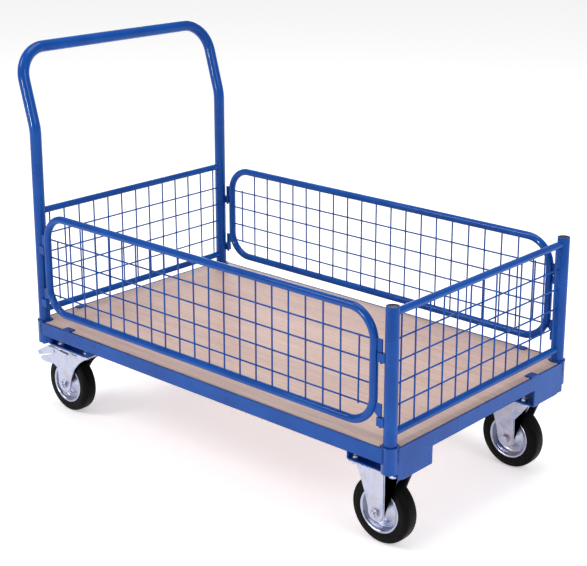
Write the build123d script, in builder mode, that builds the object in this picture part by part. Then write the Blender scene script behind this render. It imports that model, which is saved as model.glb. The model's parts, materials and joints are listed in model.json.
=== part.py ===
from build123d import *
import os
from math import cos, radians, sin, sqrt, tan

# Flatbed platform truck with fixed end walls and two lift-off mesh side panels.
# Millimetres. The origin is on the floor, under the middle of the truck's overall box.
# +X points to the front (the end without the handle), +Y to the truck's left, +Z up.

os.makedirs("parts", exist_ok=True)

# Deck frame
frame_length = 1200
frame_width = 700
rail_height = 36
rail_thickness = 4
cross_width = 30
cross_height = 20
cross_wall = 2
middle_cross_x = 147
board_thickness = rail_height - rail_thickness - cross_height
board_gap = 2
weld_gap = 0.2

# Corner sockets and the posts plugged into them
socket_radius = 19
socket_depth = 60
collar_radius = 20
collar_height = 3
post_radius = 15
post_wall = 2
post_clearance = 0.2
post_height = 315
post_bottom = 8
cap_depth = 12
cap_recess = 1
cap_clearance = 0.1

# Push handle
handle_kink_height = 515
handle_height = 714
handle_lean = 16
handle_bend = 80
handle_kink_bend = 120

# End walls
wall_tube_radius = 8.5
wall_tube_wall = 1.5
wall_top = 299
wall_bottom = 30
wall_wire_first = 86
wire_radius = 2
wire_pitch = 50
wire_rows = 4
wire_sink = 0.4
wire_touch = 0.05

# Side panels
panel_tube_radius = 9.5
panel_tube_wall = 1.5
panel_offset = 9
panel_post_spacing = 40
panel_top = 295.5
panel_bottom = 38.7
panel_bend = 66
panel_wire_first = 83
wire_overhang = 3
vent_radius = 2

# Lift-off hooks on the panels and catches on the posts
hook_tops = (95, 240)
hook_length = 55
hook_reach = 13
hook_shoulder = 30
hook_shoulder_reach = 3.5
tongue_width = 6
hook_thickness = 4
hook_taper_start = 16
hook_root = 12
catch_height = 20
catch_wall = 3
catch_play = 1.2
catch_side_play = 0.6
seat_gap = 0.3

# Castors
castor_height = 195
bracket_height = 44
bracket_thickness = 4
bracket_inner_reach = 68
bracket_width = 105
castor_inset_x = 70
castor_inset_y = 75
plate_length = 135
plate_width = 105
plate_thickness = 4
plate_corner = 8
bolt_spacing_x = 105
bolt_spacing_y = 80
bolt_radius = 4.5
bolt_hole_radius = 4.6
bolt_flats = 15
bolt_head_height = 6
wheel_radius = 80
tyre_width = 40
rim_radius = 54
rim_inset = 1.5
rim_seat = 50.5
bond_gap = 0.2
hub_radius = 15.5
hub_bore = 12
hub_length = 48
axle_radius = 6
axle_flats = 19
axle_head = 8
running_clearance = 0.1
sleeve_radius = 8
roller_radius = 1.9
roller_length = 40
roller_count = 8
bearing_ring = 2
leg_inner = 26
leg_thickness = 3.5
leg_foot = 24
fixed_leg_top = 66
fixed_leg_hollow = (42, 138)
channel_depth = 4
channel_width = 42

# Wheel sections as (inset from the tyre's side, height above the rim), (inset, depth below
# the tread) and, for the pressed rim, (distance from the wheel's middle, radius)
tyre_wall = ((1, 0), (0, 9), (0, 14), (1.5, 16))
tyre_shoulder = ((3.5, 3), (8, 0))
rim_dish = ((16, 17.5), (8, 27), (4, 35), (4, 42), (8, 46.5))

# Swivel castors and their brakes
swivel_trail = 59
ball_radius = 4
ball_ring = 26
ball_count = 12
crown_radius = 42
crown_thickness = 4
crown_front = 45
crown_back = 62
king_pin_radius = 8
king_pin_head = 14
king_pin_head_height = 6
seal_radius = 37
seal_wall = 3
seal_gap = 2
horn_root = ((-66, 171), (-101, 171), (-111, 152))
horn_tip = ((-157, 135.5), (-159.5, 130), (-152, 124.5))
horn_throat = ((-133, 123), (-103, 127), (-86, 119))
fork_hollow = (-14, 132)
pin_radius = 4
pin_x = 95
pin_height = 166
pin_stand_out = 2
pedal_half_width = 33.5
pedal_thickness = 3
pedal_front = 74
pedal_bend_x = 120
pedal_reach = 167
pedal_level = 174.5
pedal_tip_height = 149
cheek_inner = 30.5
cheek_edge = ((-161, 140), (-111, 154.5), (-78, 163.5), (-40, 166), (-40, 172))
shoe_setback = 17
shoe_length = 18
shoe_drop = 12
shoe_inset = 3
shoe_gap = 1.2
brake_travel = 9

# Deck clips and set screws
clip_length = 30
clip_depth = 20
clip_thickness = 3
clip_side_inset = 111
clip_end_inset = 130
clip_rebate = 0.5
set_screw_radius = 4
set_screw_clearance = 0.1
set_screw_stand_out = 2
set_screw_drop = 45

# Levels and axes that follow from the sizes above
rail_bottom = castor_height + bracket_height
deck_top = rail_bottom + rail_height
post_x = frame_length / 2 - socket_radius
post_y = frame_width / 2 - socket_radius
plate_bottom = castor_height - plate_thickness
castor_x = post_x - castor_inset_x
castor_y = post_y - castor_inset_y
panel_y = post_y + panel_offset
panel_end = post_x - panel_post_spacing
front_reach = post_x + collar_radius
rear_reach = castor_x + pedal_reach
deck_x = (rear_reach - front_reach) / 2
leg_outer = leg_inner + leg_thickness
crown_top = plate_bottom - 2 * seat_gap - 2 * ball_radius
crown_bottom = crown_top - crown_thickness
wire_layer = 2 * wire_radius - wire_sink
wall_wires = 2 * int((post_y - post_radius) / wire_pitch) + 1
full_panel_wires = 2 * int((panel_end - panel_bend) / wire_pitch) + 1

sides = {"left": 1, "right": -1}
ends = {"front": 1, "handle": -1}


def save(block, label):
    block.part.label = label
    export_step(block.part, f"parts/{label}.step")


def upright(x, y, z=0):
    # Vertical plane facing -Y: sketch x runs along +X, sketch y along +Z.
    return Plane(origin=(x, y, z), x_dir=(1, 0, 0), z_dir=(0, -1, 0))


def crosswise(x, y=0, z=0):
    # Vertical plane facing +X: sketch x runs along +Y, sketch y along +Z.
    return Plane(origin=(x, y, z), x_dir=(0, 1, 0), z_dir=(1, 0, 0))


def post_places():
    return [(deck_x + end * post_x, side * post_y) for end in ends.values() for side in sides.values()]


def bolt_places(x, y):
    half_x = bolt_spacing_x / 2
    half_y = bolt_spacing_y / 2
    return [(x + i * half_x, y + j * half_y) for i in (-1, 1) for j in (-1, 1)]


def post_circles(radius):
    # Circles around the four vertical tubes, for coping what meets them.
    with BuildSketch(Plane.XY) as circles:
        with Locations(*post_places()):
            Circle(radius)
    return circles.sketch


# Angle-steel side rails, coped around the sockets and over the end rails' ledges
for name, side in sides.items():
    outer = side * frame_width / 2
    with BuildPart() as side_rail:
        with BuildSketch(crosswise(deck_x)):
            with BuildLine():
                Polyline(
                    (outer, rail_bottom),
                    (outer, deck_top),
                    (outer - side * rail_thickness, deck_top),
                    (outer - side * rail_thickness, rail_bottom + rail_thickness),
                    (outer - side * rail_height, rail_bottom + rail_thickness),
                    (outer - side * rail_height, rail_bottom),
                    close=True,
                )
            make_face()
        extrude(amount=post_x - socket_radius / 3, both=True)
        ledge_end = frame_length / 2 - rail_height
        with BuildSketch(Plane.XY.offset(rail_bottom)):
            for end in ends.values():
                with Locations((deck_x + end * (ledge_end + rail_height / 2), outer - side * rail_height)):
                    Rectangle(rail_height, 2 * (rail_height - rail_thickness))
        extrude(amount=rail_height, mode=Mode.SUBTRACT)
        extrude(post_circles(socket_radius + weld_gap), amount=2 * deck_top, mode=Mode.SUBTRACT)
    save(side_rail, f"side_rail_{name}")

# Angle-steel end rails between the sockets
for name, end in ends.items():
    outer = end * frame_length / 2
    with BuildPart() as end_rail:
        with BuildSketch(upright(deck_x, 0)):
            with BuildLine():
                Polyline(
                    (outer, rail_bottom),
                    (outer, deck_top),
                    (outer - end * rail_thickness, deck_top),
                    (outer - end * rail_thickness, rail_bottom + rail_thickness),
                    (outer - end * rail_height, rail_bottom + rail_thickness),
                    (outer - end * rail_height, rail_bottom),
                    close=True,
                )
            make_face()
        extrude(amount=post_y - socket_radius / 3, both=True)
        extrude(post_circles(socket_radius + weld_gap), amount=2 * deck_top, mode=Mode.SUBTRACT)
    save(end_rail, f"end_rail_{name}")

# Rectangular cross members that rest on the side rails' ledges and carry the board
end_cross_x = castor_x - bracket_inner_reach + cross_width / 2
cross_length = frame_width - 2 * (rail_thickness + weld_gap)
with BuildPart() as cross_members:
    for x in (-end_cross_x, -middle_cross_x, middle_cross_x, end_cross_x):
        with BuildSketch(upright(deck_x + x, 0, rail_bottom + rail_thickness + cross_height / 2)):
            Rectangle(cross_width, cross_height)
            Rectangle(cross_width - 2 * cross_wall, cross_height - 2 * cross_wall, mode=Mode.SUBTRACT)
        extrude(amount=cross_length / 2, both=True)
save(cross_members, "cross_members")

# Corner sockets with a collar ring around the plugged-in tube
for end_name, end in ends.items():
    for side_name, side in sides.items():
        x = deck_x + end * post_x
        y = side * post_y
        with BuildPart() as socket:
            with BuildSketch(Plane.XY.offset(deck_top - socket_depth)):
                with Locations((x, y)):
                    Circle(socket_radius)
            extrude(amount=socket_depth)
            with BuildSketch(Plane.XY.offset(deck_top)):
                with Locations((x, y)):
                    Circle(collar_radius)
            extrude(amount=collar_height)
            collar_edges = socket.edges().filter_by(GeomType.CIRCLE).group_by(Axis.Z)[-1]
            fillet(collar_edges, radius=collar_height / 3)
            with BuildSketch(Plane.XY.offset(deck_top - socket_depth)):
                with Locations((x, y)):
                    Circle(post_radius + post_clearance)
            extrude(amount=socket_depth + collar_height, mode=Mode.SUBTRACT)
            inward = Plane(origin=(x, y, deck_top - set_screw_drop), z_dir=(-end, -side, 0))
            with BuildSketch(inward):
                Circle(set_screw_radius + set_screw_clearance)
            extrude(amount=2 * socket_radius, mode=Mode.SUBTRACT)
        save(socket, f"corner_socket_{end_name}_{side_name}")

# Grub screws through the sockets' inner walls, bearing on the tubes
with BuildPart() as set_screws:
    for end in ends.values():
        for side in sides.values():
            screw_axis = Plane(
                origin=(deck_x + end * post_x, side * post_y, deck_top - set_screw_drop),
                z_dir=(-end, -side, 0),
            )
            with BuildSketch(screw_axis.offset(post_radius + wire_touch)):
                Circle(set_screw_radius)
                RegularPolygon(set_screw_radius / 2, 6, mode=Mode.SUBTRACT)
            extrude(amount=socket_radius - post_radius + set_screw_stand_out)
save(set_screws, "set_screws")

# Folded channel brackets under the corners, flush with the end rails; the castors bolt to their webs
for end_name, end in ends.items():
    for side_name, side in sides.items():
        x = deck_x + end * castor_x
        y = side * castor_y
        outer_face = end * (frame_length / 2 - castor_x)
        inner_face = -end * bracket_inner_reach
        web_top = castor_height + bracket_thickness
        with BuildPart() as bracket:
            with BuildSketch(upright(x, y)):
                with BuildLine():
                    Polyline(
                        (outer_face, rail_bottom),
                        (outer_face, castor_height),
                        (inner_face, castor_height),
                        (inner_face, rail_bottom + rail_thickness),
                        (inner_face + end * bracket_thickness, rail_bottom + rail_thickness),
                        (inner_face + end * bracket_thickness, web_top),
                        (outer_face - end * bracket_thickness, web_top),
                        (outer_face - end * bracket_thickness, rail_bottom),
                        close=True,
                    )
                make_face()
            extrude(amount=bracket_width / 2, both=True)
            folds = bracket.edges().filter_by(Axis.Y).group_by(Axis.Z)[0]
            fillet(folds, radius=bracket_thickness)
            # The outer flange runs on to the corner socket and is coped round it.
            with BuildSketch(Plane.XY.offset(castor_height + bracket_thickness)):
                with Locations((x + outer_face - end * bracket_thickness / 2, side * (castor_y + post_y) / 2)):
                    Rectangle(bracket_thickness, post_y - castor_y)
            extrude(amount=bracket_height - bracket_thickness)
            extrude(post_circles(socket_radius + weld_gap), amount=rail_bottom, mode=Mode.SUBTRACT)
            with BuildSketch(Plane.XY.offset(castor_height)):
                with Locations(*bolt_places(x, y)):
                    Circle(bolt_hole_radius)
            extrude(amount=bracket_thickness, mode=Mode.SUBTRACT)
        save(bracket, f"castor_bracket_{end_name}_{side_name}")


def clip_outlines(margin):
    # The deck clips' outlines, two at each of two opposite corners.
    with BuildSketch(Plane.XY.offset(deck_top)) as outlines:
        for corner in (-1, 1):
            side_y = corner * (frame_width - clip_depth) / 2
            end_x = deck_x + corner * (frame_length - clip_depth) / 2
            with Locations((deck_x + corner * (post_x - clip_side_inset), side_y)):
                RectangleRounded(clip_length + 2 * margin, clip_depth + 2 * margin, clip_thickness)
            with Locations((end_x, corner * (post_y - clip_end_inset))):
                RectangleRounded(clip_depth + 2 * margin, clip_length + 2 * margin, clip_thickness)
    return outlines.sketch


# Beech-faced board, flush with the rails, cut round at the sockets and rebated under the clips
with BuildPart() as deck_board:
    board_margin = 2 * (rail_thickness + board_gap)
    with BuildSketch(Plane.XY.offset(deck_top - board_thickness)):
        with Locations((deck_x, 0)):
            Rectangle(frame_length - board_margin, frame_width - board_margin)
        with Locations(*post_places()):
            Circle(collar_radius + board_gap, mode=Mode.SUBTRACT)
    extrude(amount=board_thickness)
    extrude(clip_outlines(board_gap), amount=-clip_rebate, mode=Mode.SUBTRACT)
save(deck_board, "deck_board")

# Small steel tabs that lap from the rails over the board's edge, at two opposite corners
with BuildPart() as deck_clips:
    extrude(clip_outlines(0), amount=clip_thickness)
save(deck_clips, "deck_clips")

# Push handle: one tube bent up from the two rear sockets
lean_x = (handle_height - handle_kink_height) * tan(radians(handle_lean))
with BuildPart() as handle_tube:
    base_x = deck_x - post_x
    base_z = deck_top - socket_depth + post_bottom
    kink_z = deck_top + handle_kink_height
    bar_z = deck_top + handle_height
    with BuildLine() as handle_path:
        FilletPolyline(
            (base_x, -post_y, base_z),
            (base_x, -post_y, kink_z),
            (base_x - lean_x, -post_y, bar_z),
            (base_x - lean_x, post_y, bar_z),
            (base_x, post_y, kink_z),
            (base_x, post_y, base_z),
            radius=[handle_kink_bend, handle_bend, handle_bend, handle_kink_bend],
        )
    with BuildSketch(Plane.XY.offset(base_z)):
        with Locations((base_x, -post_y)):
            Circle(post_radius)
            Circle(post_radius - post_wall, mode=Mode.SUBTRACT)
    sweep(path=handle_path.wire())
save(handle_tube, "handle_tube")

# Front posts
for name, side in sides.items():
    with BuildPart() as post:
        with BuildSketch(Plane.XY.offset(deck_top - socket_depth + post_bottom)):
            with Locations((deck_x + post_x, side * post_y)):
                Circle(post_radius)
                Circle(post_radius - post_wall, mode=Mode.SUBTRACT)
        extrude(amount=socket_depth - post_bottom + post_height)
    save(post, f"front_post_{name}")

# Plastic plugs pressed just inside the tops of the front posts
with BuildPart() as post_caps:
    with BuildSketch(Plane.XY.offset(deck_top + post_height - cap_recess)):
        with Locations(*[(deck_x + post_x, side * post_y) for side in sides.values()]):
            Circle(post_radius - post_wall - cap_clearance)
    extrude(amount=-cap_depth)
save(post_caps, "post_caps")

# End walls: two round rails and a welded wire grid between the posts or the handle's uprights
for name, end in ends.items():
    wall_x = deck_x + end * post_x
    with BuildPart() as wall_rails:
        for height in (wall_bottom, wall_top):
            with BuildSketch(upright(wall_x, 0, deck_top + height)):
                Circle(wall_tube_radius)
                Circle(wall_tube_radius - wall_tube_wall, mode=Mode.SUBTRACT)
            extrude(amount=post_y, both=True)
        extrude(post_circles(post_radius + wire_touch), amount=3 * deck_top, mode=Mode.SUBTRACT)
    save(wall_rails, f"{name}_wall_rails")

    low = deck_top + wall_bottom + wall_tube_radius + wire_touch
    high = deck_top + wall_top - wall_tube_radius - wire_touch
    with BuildPart() as wall_mesh:
        with Locations((wall_x, 0, (low + high) / 2)):
            with GridLocations(1, wire_pitch, 1, wall_wires):
                Cylinder(wire_radius, high - low)
        middle_row = deck_top + wall_wire_first + wire_pitch * (wire_rows - 1) / 2
        with Locations(Plane.YZ.offset(wall_x - end * wire_layer)):
            with Locations((0, middle_row)):
                with GridLocations(1, wire_pitch, 1, wire_rows):
                    Cylinder(wire_radius, 2 * (post_y - post_radius - wire_touch), rotation=(0, 90, 0))
    save(wall_mesh, f"{name}_wall_mesh")

# Side panels: a bent tube ring, a welded wire grid and four hooks
hook_left = panel_end + panel_tube_radius + wire_touch
for name, side in sides.items():
    y = side * panel_y
    low = deck_top + panel_bottom
    high = deck_top + panel_top
    with BuildPart() as panel_frame:
        with BuildLine(upright(deck_x, y)) as ring:
            FilletPolyline(
                (-panel_end, low),
                (panel_end, low),
                (panel_end, high),
                (-panel_end, high),
                radius=panel_bend,
                close=True,
            )
        ring_wire = ring.wire()
        with BuildSketch(Plane(origin=ring_wire @ 0, z_dir=ring_wire % 0)):
            Circle(panel_tube_radius)
        sweep(path=ring_wire)
        with BuildSketch(Plane(origin=ring_wire @ 0, z_dir=ring_wire % 0)):
            Circle(panel_tube_radius - panel_tube_wall)
        sweep(path=ring_wire, mode=Mode.SUBTRACT)
        with BuildSketch(Plane.XY.offset(low)):
            with Locations((deck_x, y)):
                Circle(vent_radius)
        extrude(amount=-2 * panel_tube_radius, mode=Mode.SUBTRACT)
    save(panel_frame, f"panel_frame_{name}")

    grid_low = low + panel_tube_radius + wire_touch
    grid_high = high - panel_tube_radius - wire_touch
    rows = [deck_top + panel_wire_first + i * wire_pitch for i in range(wire_rows)]
    with BuildPart() as panel_mesh:
        with Locations((deck_x, y, (grid_low + grid_high) / 2)):
            with GridLocations(wire_pitch, 1, full_panel_wires, 1):
                Cylinder(wire_radius, grid_high - grid_low)
        with Locations((deck_x, y, (rows[0] + rows[-1]) / 2)):
            with GridLocations(wire_pitch * (full_panel_wires + 1), 1, 2, 1):
                Cylinder(wire_radius, rows[-1] - rows[0] + 2 * wire_overhang)
        for row in rows:
            # Each row ends on the ring's inner face, which curves in at the corners.
            into_bend = max(low + panel_bend - row, row - high + panel_bend, 0) + wire_radius
            inner_bend = panel_bend - panel_tube_radius - wire_touch
            reach = panel_end - panel_bend + sqrt(inner_bend**2 - into_bend**2)
            with Locations((deck_x, y - side * wire_layer, row)):
                Cylinder(wire_radius, 2 * reach, rotation=(0, 90, 0))
    save(panel_mesh, f"panel_mesh_{name}")

    with BuildPart() as panel_hooks:
        for end in ends.values():
            for top in hook_tops:
                with BuildSketch(upright(deck_x + end * hook_left, y, deck_top + top)):
                    with BuildLine():
                        Polyline(
                            (-end * hook_root, 0),
                            (end * hook_reach, 0),
                            (end * hook_reach, -hook_length),
                            (end * (hook_reach - tongue_width), -hook_length),
                            (end * (hook_reach - tongue_width), -hook_shoulder),
                            (end * hook_shoulder_reach, -hook_shoulder),
                            (-end * hook_root, -hook_taper_start),
                            close=True,
                        )
                    make_face()
                extrude(amount=hook_thickness / 2, both=True)
        # The plates' roots follow the ring, round its bends too.
        with BuildSketch(upright(deck_x, y, (low + high) / 2)):
            ring_margin = 2 * (panel_tube_radius + wire_touch)
            RectangleRounded(
                2 * panel_end + ring_margin,
                high - low + ring_margin,
                panel_bend + ring_margin / 2,
            )
        extrude(amount=hook_thickness, both=True, mode=Mode.SUBTRACT)
    save(panel_hooks, f"panel_hooks_{name}")

# Catches: short staples on the posts that the hooks' tongues drop into
with BuildPart() as panel_catches:
    slot_low = hook_left + hook_reach - tongue_width - catch_play
    slot_high = hook_left + hook_reach + catch_play
    slot_width = hook_thickness + 2 * catch_side_play
    for end in ends.values():
        for side in sides.values():
            for top in hook_tops:
                catch_top = deck_top + top - hook_shoulder - seat_gap
                outline_low = deck_x + end * (slot_low - catch_wall)
                outline_high = deck_x + end * (post_x - post_radius / 2)
                with BuildSketch(Plane.XY.offset(catch_top)):
                    with Locations(((outline_low + outline_high) / 2, side * panel_y)):
                        Rectangle(abs(outline_high - outline_low), slot_width + 2 * catch_wall)
                    with Locations((deck_x + end * (slot_low + slot_high) / 2, side * panel_y)):
                        Rectangle(slot_high - slot_low, slot_width, mode=Mode.SUBTRACT)
                    with Locations((deck_x + end * post_x, side * post_y)):
                        Circle(post_radius + wire_touch, mode=Mode.SUBTRACT)
                extrude(amount=-catch_height)
save(panel_catches, "panel_catches")


# Castor bolts from below and their nuts above the webs
with BuildPart() as castor_bolts:
    for end in ends.values():
        for side in sides.values():
            places = bolt_places(deck_x + end * castor_x, side * castor_y)
            with BuildSketch(Plane.XY.offset(plate_bottom - bolt_head_height)):
                with Locations(*places):
                    RegularPolygon(bolt_flats / 2, 6, major_radius=False)
            extrude(amount=bolt_head_height)
            with BuildSketch(Plane.XY.offset(plate_bottom)):
                with Locations(*places):
                    Circle(bolt_radius)
            extrude(amount=plate_thickness + bracket_thickness + 2 * bolt_head_height)
save(castor_bolts, "castor_bolts")

with BuildPart() as castor_nuts:
    for end in ends.values():
        for side in sides.values():
            with BuildSketch(Plane.XY.offset(castor_height + bracket_thickness)):
                with Locations(*bolt_places(deck_x + end * castor_x, side * castor_y)):
                    RegularPolygon(bolt_flats / 2, 6, major_radius=False)
                    Circle(bolt_hole_radius, mode=Mode.SUBTRACT)
            extrude(amount=bolt_head_height)
save(castor_nuts, "castor_nuts")


def foot_plate(x, y):
    # Outline of a castor's top plate with its four bolt holes.
    with BuildSketch(Plane.XY.offset(plate_bottom)) as outline:
        with Locations((x, y)):
            RectangleRounded(plate_length, plate_width, plate_corner)
        with Locations(*bolt_places(x, y)):
            Circle(bolt_hole_radius, mode=Mode.SUBTRACT)
    return outline.sketch


def build_axle(x, y, side, reach, label):
    # Bolt with its head inboard and nut outboard, and the clamped spacer sleeve.
    with BuildPart() as axle:
        with BuildSketch(upright(x, y - side * reach, wheel_radius)):
            RegularPolygon(axle_flats / 2, 6, major_radius=False)
        extrude(amount=side * axle_head)
        with BuildSketch(upright(x, y - side * reach, wheel_radius)):
            Circle(axle_radius)
        extrude(amount=-side * (2 * reach + 1.5 * axle_head))
        with BuildSketch(upright(x, y + side * reach, wheel_radius)):
            RegularPolygon(axle_flats / 2, 6, major_radius=False)
            Circle(axle_radius + running_clearance, mode=Mode.SUBTRACT)
        extrude(amount=-side * axle_head)
        with BuildSketch(upright(x, y, wheel_radius)):
            Circle(sleeve_radius)
            Circle(axle_radius + running_clearance, mode=Mode.SUBTRACT)
        extrude(amount=leg_inner - running_clearance, both=True)
    save(axle, label)


# Fixed castors: pressed forks with wide V legs and a raised middle channel
for name, side in sides.items():
    x = deck_x + castor_x
    y = side * castor_y
    with BuildPart() as fixed_fork:
        extrude(foot_plate(x, y), amount=plate_thickness)
        for leg in (-1, 1):
            with BuildSketch(upright(x, y + leg * (leg_inner + leg_thickness / 2))):
                with BuildLine():
                    Line((-fixed_leg_top, plate_bottom), (fixed_leg_top, plate_bottom))
                    CenterArc((0, wheel_radius), leg_foot, 180, 180)
                    hollow_x, hollow_z = fixed_leg_hollow
                    for edge in (-1, 1):
                        foot = (edge * leg_foot, wheel_radius)
                        ThreePointArc(foot, (edge * hollow_x, hollow_z), (edge * fixed_leg_top, plate_bottom))
                make_face()
            extrude(amount=leg_thickness / 2, both=True)
            for width, start, depth, mode in (
                (channel_width, leg_outer, channel_depth, Mode.ADD),
                (channel_width - 2 * leg_thickness, leg_inner, channel_depth, Mode.SUBTRACT),
            ):
                with BuildSketch(upright(x, y + leg * start)):
                    with Locations((0, wheel_radius)):
                        Circle(width / 2)
                    with Locations((0, (wheel_radius + plate_bottom) / 2)):
                        Rectangle(width, plate_bottom - wheel_radius)
                extrude(amount=-leg * depth, mode=mode)
        with BuildSketch(upright(x, y, wheel_radius)):
            Circle(axle_radius + running_clearance)
        extrude(amount=2 * leg_outer, both=True, mode=Mode.SUBTRACT)
    save(fixed_fork, f"fixed_fork_{name}")
    build_axle(x, y, side, leg_outer + channel_depth, f"front_axle_{name}")

# Swivel castors
for name, side in sides.items():
    x = deck_x - castor_x
    y = side * castor_y
    axle_x = -swivel_trail
    with BuildPart() as swivel_plate:
        extrude(foot_plate(x, y), amount=plate_thickness)
        with BuildSketch(Plane.XY.offset(crown_bottom - seat_gap)):
            with Locations((x, y)):
                Circle(king_pin_radius)
        extrude(amount=plate_bottom - crown_bottom + seat_gap)
        with BuildSketch(Plane.XY.offset(crown_bottom - seat_gap)):
            with Locations((x, y)):
                Circle(king_pin_head)
        extrude(amount=-king_pin_head_height)
    save(swivel_plate, f"swivel_plate_{name}")

    with BuildPart() as swivel_balls:
        with Locations((x, y, crown_top + seat_gap + ball_radius)):
            with PolarLocations(ball_ring, ball_count):
                Sphere(ball_radius)
    save(swivel_balls, f"swivel_balls_{name}")

    with BuildPart() as swivel_fork:
        with BuildSketch(Plane.XY.offset(crown_bottom)):
            with Locations((x, y)):
                Circle(crown_radius)
            with Locations((x + (crown_front - crown_back) / 2, y)):
                RectangleRounded(crown_front + crown_back, 2 * leg_outer, plate_corner)
            with Locations((x, y)):
                Circle(king_pin_radius + running_clearance, mode=Mode.SUBTRACT)
        extrude(amount=crown_thickness)
        with BuildSketch(Plane.XY.offset(crown_top)):
            with Locations((x, y)):
                Circle(seal_radius)
                Circle(seal_radius - seal_wall, mode=Mode.SUBTRACT)
        extrude(amount=plate_bottom - seal_gap - crown_top)
        for leg in (-1, 1):
            with BuildSketch(upright(x, y + leg * (leg_inner + leg_thickness / 2))):
                with BuildLine():
                    Line((crown_front - plate_corner, crown_bottom), (-crown_back, crown_bottom))
                    Polyline((-crown_back, crown_bottom), *horn_root, *horn_tip)
                    Polyline(horn_tip[-1], *horn_throat, (axle_x - leg_foot, wheel_radius))
                    CenterArc((axle_x, wheel_radius), leg_foot, 180, 180)
                    foot_edge = (axle_x + leg_foot, wheel_radius)
                    front_edge = (crown_front - plate_corner, crown_bottom - crown_thickness)
                    ThreePointArc(foot_edge, fork_hollow, front_edge)
                    Line(front_edge, (crown_front - plate_corner, crown_bottom))
                make_face()
            extrude(amount=leg_thickness / 2, both=True)
        with BuildSketch(upright(x + axle_x, y, wheel_radius)):
            Circle(axle_radius + running_clearance)
        extrude(amount=2 * leg_outer, both=True, mode=Mode.SUBTRACT)
        with BuildSketch(upright(x - pin_x, y, pin_height)):
            Circle(pin_radius)
        extrude(amount=pedal_half_width + pin_stand_out, both=True)
    save(swivel_fork, f"swivel_fork_{name}")
    build_axle(x + axle_x, y, side, leg_outer, f"rear_axle_{name}")

    # Pedal: a bent sheet whose cheeks straddle the fork on the pin, and a shoe cut to the tyre as it
    # sits when braked
    travel = radians(brake_travel)
    to_axle_x = pin_x - swivel_trail
    to_axle_z = wheel_radius - pin_height
    braked_x = -pin_x + to_axle_x * cos(travel) + to_axle_z * sin(travel)
    braked_z = pin_height - to_axle_x * sin(travel) + to_axle_z * cos(travel)
    pedal_line = [
        (-pedal_front, pedal_level),
        (-pedal_bend_x, pedal_level),
        (-pedal_reach + pedal_thickness / 2, pedal_tip_height),
    ]
    with BuildPart() as brake_pedal:
        with BuildSketch(upright(x, y)):
            with BuildLine():
                Polyline(*pedal_line)
                offset(amount=pedal_thickness / 2)
            make_face()
        extrude(amount=pedal_half_width, both=True)
        with BuildSketch(upright(x, y)):
            with Locations((-pin_x - shoe_setback, pin_height - shoe_drop)):
                Rectangle(shoe_length, 2 * (pedal_level - pin_height + shoe_drop))
            with Locations((braked_x, braked_z)):
                Circle(wheel_radius + shoe_gap, mode=Mode.SUBTRACT)
        extrude(amount=tyre_width / 2 - shoe_inset, both=True)
        for cheek in (-1, 1):
            with BuildSketch(upright(x, y + cheek * cheek_inner)):
                with BuildLine():
                    Polyline(*pedal_line, *cheek_edge, close=True)
                make_face()
            extrude(amount=-cheek * (pedal_half_width - cheek_inner))
        with BuildSketch(upright(x - pin_x, y, pin_height)):
            Circle(pin_radius + running_clearance)
        extrude(amount=pedal_half_width, both=True, mode=Mode.SUBTRACT)
    save(brake_pedal, f"brake_pedal_{name}")

# Wheels: pressed steel rim with a roller bearing and a solid rubber tyre
wheel_places = {"front": castor_x, "rear": -castor_x - swivel_trail}
for end_name, wheel_x in wheel_places.items():
    for side_name, side in sides.items():
        centre = (deck_x + wheel_x, side * castor_y, wheel_radius)
        spin = Axis(centre, (0, 1, 0))
        section = Plane(origin=centre, x_dir=(0, 1, 0), z_dir=(0, 0, 1))
        with BuildPart() as tyre:
            with BuildSketch(section):
                with BuildLine():
                    half = tyre_width / 2
                    right_half = [(half - inset, rim_radius + rise) for inset, rise in tyre_wall]
                    right_half += [(half - inset, wheel_radius - drop) for inset, drop in tyre_shoulder]
                    left_half = [(-a, r) for a, r in reversed(right_half)]
                    Polyline(*right_half, *left_half, close=True)
                make_face()
            revolve(axis=spin)
        save(tyre, f"tyre_{end_name}_{side_name}")

        with BuildPart() as rim:
            with BuildSketch(section):
                with BuildLine():
                    right_half = [
                        (hub_length / 2, hub_bore),
                        (hub_length / 2, hub_radius),
                        *rim_dish,
                        (half - rim_inset, rim_seat),
                        (half - rim_inset, rim_radius - bond_gap),
                    ]
                    left_half = [(-a, r) for a, r in reversed(right_half)]
                    Polyline(*right_half, *left_half, close=True)
                make_face()
            revolve(axis=spin)
        save(rim, f"rim_{end_name}_{side_name}")

        with BuildPart() as bearing:
            ring_height = (sleeve_radius + hub_bore) / 2
            with BuildSketch(upright(*centre)):
                with PolarLocations(ring_height, roller_count):
                    Circle(roller_radius)
            extrude(amount=roller_length / 2, both=True)
            for end in (-1, 1):
                with BuildSketch(upright(centre[0], centre[1] + end * roller_length / 2, centre[2])):
                    Circle(hub_bore - 2 * running_clearance)
                    Circle(sleeve_radius + 2 * running_clearance, mode=Mode.SUBTRACT)
                extrude(amount=-end * bearing_ring)
        save(bearing, f"roller_bearing_{end_name}_{side_name}")
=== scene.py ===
import json
import math
import random

import bmesh
import bpy
from mathutils import Euler, Matrix, Vector


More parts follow.
